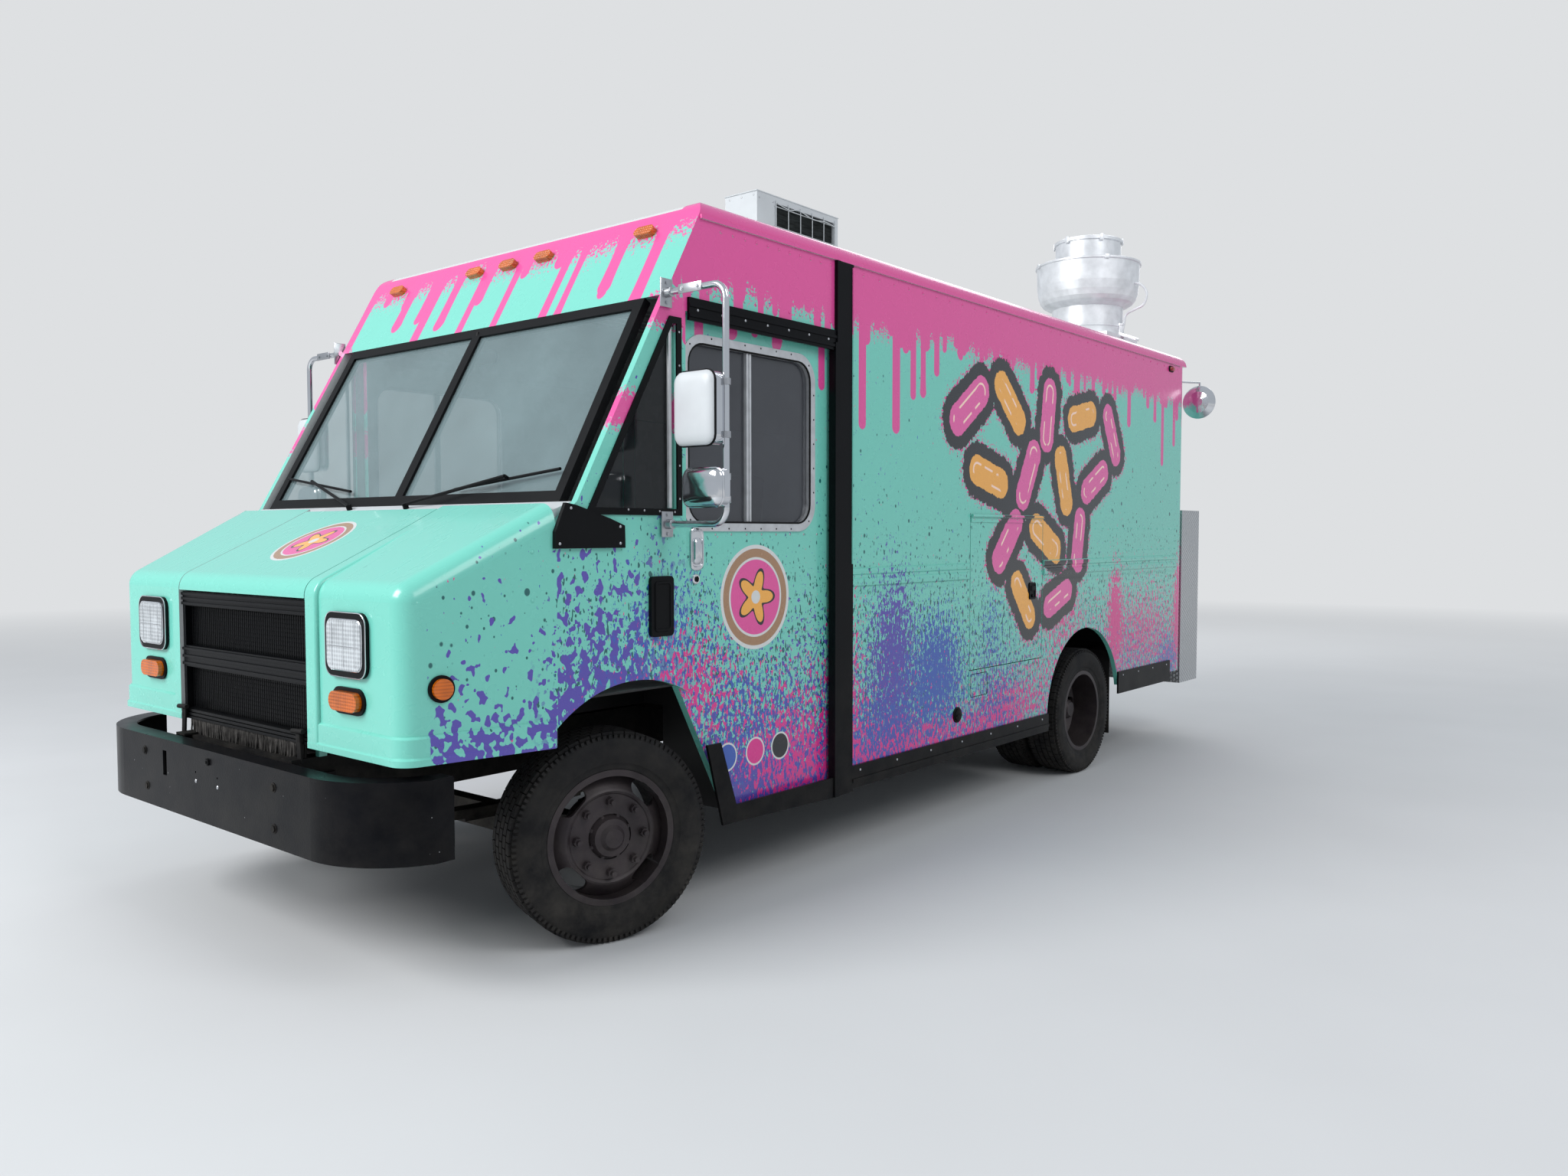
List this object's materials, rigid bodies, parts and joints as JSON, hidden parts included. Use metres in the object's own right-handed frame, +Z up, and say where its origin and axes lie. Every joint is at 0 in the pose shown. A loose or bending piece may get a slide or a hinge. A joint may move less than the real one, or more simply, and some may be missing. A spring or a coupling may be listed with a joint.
{
  "type": "food truck",
  "caption": "Step-van food truck with steered wheels, sliding cab doors, hood, serving awning, side hatch, rear door and roof equipment.",
  "frame": {"origin": "on the ground under the middle of the van's overall box", "axes": "+X to the van's left side, -Y to its front, +Z up"},
  "size_m": [3.06, 7.198, 3.689],
  "materials": {
    "body_paint": "gloss",
    "black_paint": "semi-gloss",
    "chassis_black": "satin",
    "cast_black": "rough",
    "wheel_grey": "satin",
    "tire_rubber": "matt",
    "clear_glass": "clear",
    "lamp_lens": "clear",
    "amber_lens": "gloss",
    "red_lens": "gloss",
    "black_plastic": "satin",
    "rubber": "matt",
    "galvanised": "spangled",
    "aluminium": "satin",
    "white_metal": "satin",
    "chrome": "mirror",
    "seat_vinyl": "satin",
    "steel": "brushed"
  },
  "bodies": {
    "van": {"chassis_frame": "chassis_black", "front_bumper": "black_paint", "front_axle": "cast_black", "rear_axle": "cast_black", "engine": "cast_black", "radiator": "black_plastic", "front_clip": "body_paint", "grille": "black_paint", "lamp_bezels": "black_plastic", "headlights": "lamp_lens", "amber_lamps": "amber_lens", "cab_window_frames": "black_plastic", "cab_glass": "clear_glass", "wall_left": "body_paint", "wall_right": "body_paint", "roof": "body_paint", "floor": "aluminium", "cowl": "white_metal", "black_rails": "black_paint", "door_tracks": "aluminium", "rear_wall": "body_paint", "rear_platform": "aluminium", "gas_cabinet": "aluminium", "serving_counter": "steel", "mirrors": "chrome", "ac_unit": "white_metal", "exhaust_fan": "galvanised", "roof_markers": "amber_lens", "rear_lamps": "red_lens", "mudflaps": "rubber", "seat": "seat_vinyl", "dash": "black_plastic", "steering_wheel": "black_plastic", "wipers": "black_plastic", "fuel_tank": "chassis_black"},
    "hood": {"hood": "body_paint"},
    "knuckle_left": {"knuckle_left": "cast_black"},
    "knuckle_right": {"knuckle_right": "cast_black"},
    "front_wheel_left": {"front_tire_left": "tire_rubber", "front_rim_left": "wheel_grey"},
    "front_wheel_right": {"front_tire_right": "tire_rubber", "front_rim_right": "wheel_grey"},
    "rear_wheels_left": {"rear_tires_left": "tire_rubber", "rear_rims_left": "wheel_grey"},
    "rear_wheels_right": {"rear_tires_right": "tire_rubber", "rear_rims_right": "wheel_grey"},
    "cab_door_left": {"cab_door_left": "body_paint", "window_frame_left": "aluminium", "door_glass_left": "clear_glass"},
    "cab_door_right": {"cab_door_right": "body_paint", "window_frame_right": "aluminium", "door_glass_right": "clear_glass"},
    "rear_door": {"rear_door": "body_paint"},
    "side_hatch": {"side_hatch": "body_paint"},
    "awning": {"awning": "body_paint"},
    "ac_fan": {"ac_fan": "black_plastic"}
  },
  "joints": [
    {"name": "steer_left", "type": "hinge", "parent": "van", "child": "knuckle_left", "pos_m": [0.9, -2.51, 0.4055], "axis": [0, 0, 1], "range_deg": [-17, 53]},
    {"name": "steer_right", "type": "hinge", "parent": "van", "child": "knuckle_right", "pos_m": [-0.9, -2.51, 0.4055], "axis": [0, 0, 1], "range_deg": [-17, 53]},
    {"name": "roll_front_left", "type": "hinge", "parent": "knuckle_left", "child": "front_wheel_left", "pos_m": [1.03315, -2.55326, 0.4055], "axis": [0.9511, -0.309, 0], "continuous": true},
    {"name": "roll_front_right", "type": "hinge", "parent": "knuckle_right", "child": "front_wheel_right", "pos_m": [-1.03315, -2.46674, 0.4055], "axis": [0.9511, -0.309, 0], "continuous": true},
    {"name": "roll_rear_left", "type": "hinge", "parent": "van", "child": "rear_wheels_left", "pos_m": [1.062, 1.49, 0.4055], "axis": [1, 0, 0], "continuous": true},
    {"name": "roll_rear_right", "type": "hinge", "parent": "van", "child": "rear_wheels_right", "pos_m": [-1.062, 1.49, 0.4055], "axis": [1, 0, 0], "continuous": true},
    {"name": "slide_door_left", "type": "slide", "parent": "van", "child": "cab_door_left", "axis": [0, 1, 0], "range_m": [0, 0.8]},
    {"name": "slide_door_right", "type": "slide", "parent": "van", "child": "cab_door_right", "axis": [0, 1, 0], "range_m": [0, 0.8]},
    {"name": "hood_hinge", "type": "hinge", "parent": "van", "child": "hood", "pos_m": [0, -2.8983, 1.63], "axis": [-1, 0, 0], "range_deg": [0, 55]},
    {"name": "rear_door_hinge", "type": "hinge", "parent": "van", "child": "rear_door", "pos_m": [-0.9, 3.2293, 1.75], "axis": [0, 0, 1], "range_deg": [0, 110]},
    {"name": "hatch_hinge", "type": "hinge", "parent": "van", "child": "side_hatch", "pos_m": [1.1893, 0.43, 1.661], "axis": [0, -1, 0], "range_deg": [0, 90]},
    {"name": "awning_hinge", "type": "hinge", "parent": "van", "child": "awning", "pos_m": [-1.1893, 0.64, 2.305], "axis": [0, 1, 0], "range_deg": [0, 90]},
    {"name": "ac_fan_spin", "type": "hinge", "parent": "van", "child": "ac_fan", "pos_m": [-0.09, -0.075, 3.21], "axis": [1, 0, 0], "continuous": true}
  ],
  "couplings": [
    {"joint": "steer_right", "follows": "steer_left", "ratio": 1}
  ]
}
